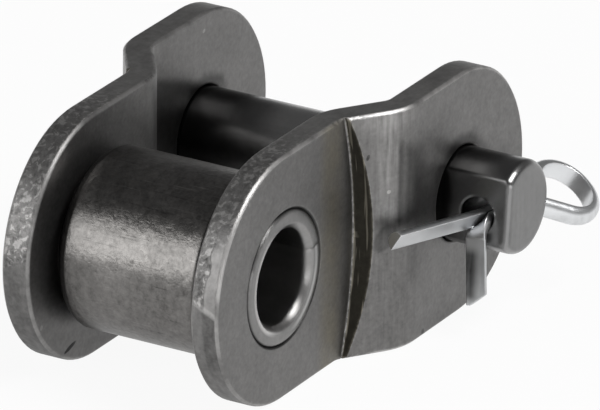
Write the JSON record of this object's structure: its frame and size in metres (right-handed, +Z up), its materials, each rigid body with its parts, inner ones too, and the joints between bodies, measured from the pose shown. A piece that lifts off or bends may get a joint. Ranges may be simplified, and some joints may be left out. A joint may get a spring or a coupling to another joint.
{
  "type": "roller chain offset link",
  "caption": "Cranked offset link for a half-inch pitch roller chain: two cranked side plates, bush, loose roller and a slip-fit pin held by a split cotter.",
  "frame": {"origin": "centre of the bush, on its axis and in the link's middle plane", "axes": "+X along the pitch from the bush to the pin, +Y along the bush and pin axes from the cotter pin's end to the head's end, +Z up; the plates stand on their lower edges"},
  "size_m": [0.0254, 0.0204, 0.0118],
  "materials": {
    "plate_steel": "punched and tumbled bare steel, lightly oiled",
    "bush_steel": "curled strip, tumbled",
    "roller_steel": "hardened steel with fine marks along the axis",
    "pin_steel": "ground and hardened, satin",
    "cotter_zinc": "bright zinc plate"
  },
  "bodies": {
    "link": {"cotter_side_plate": "plate_steel", "head_side_plate": "plate_steel", "bush": "bush_steel"},
    "roller": {"roller": "roller_steel"},
    "pin": {"pin": "pin_steel", "cotter_pin": "cotter_zinc"}
  },
  "joints": [
    {"name": "roller_spin", "type": "hinge", "parent": "link", "child": "roller", "pos_m": [0, 0, 0], "axis": [0, 1, 0], "continuous": true},
    {"name": "pin_turn", "type": "hinge", "parent": "link", "child": "pin", "pos_m": [0.0127, 0, 0], "axis": [0, 1, 0], "continuous": true}
  ]
}
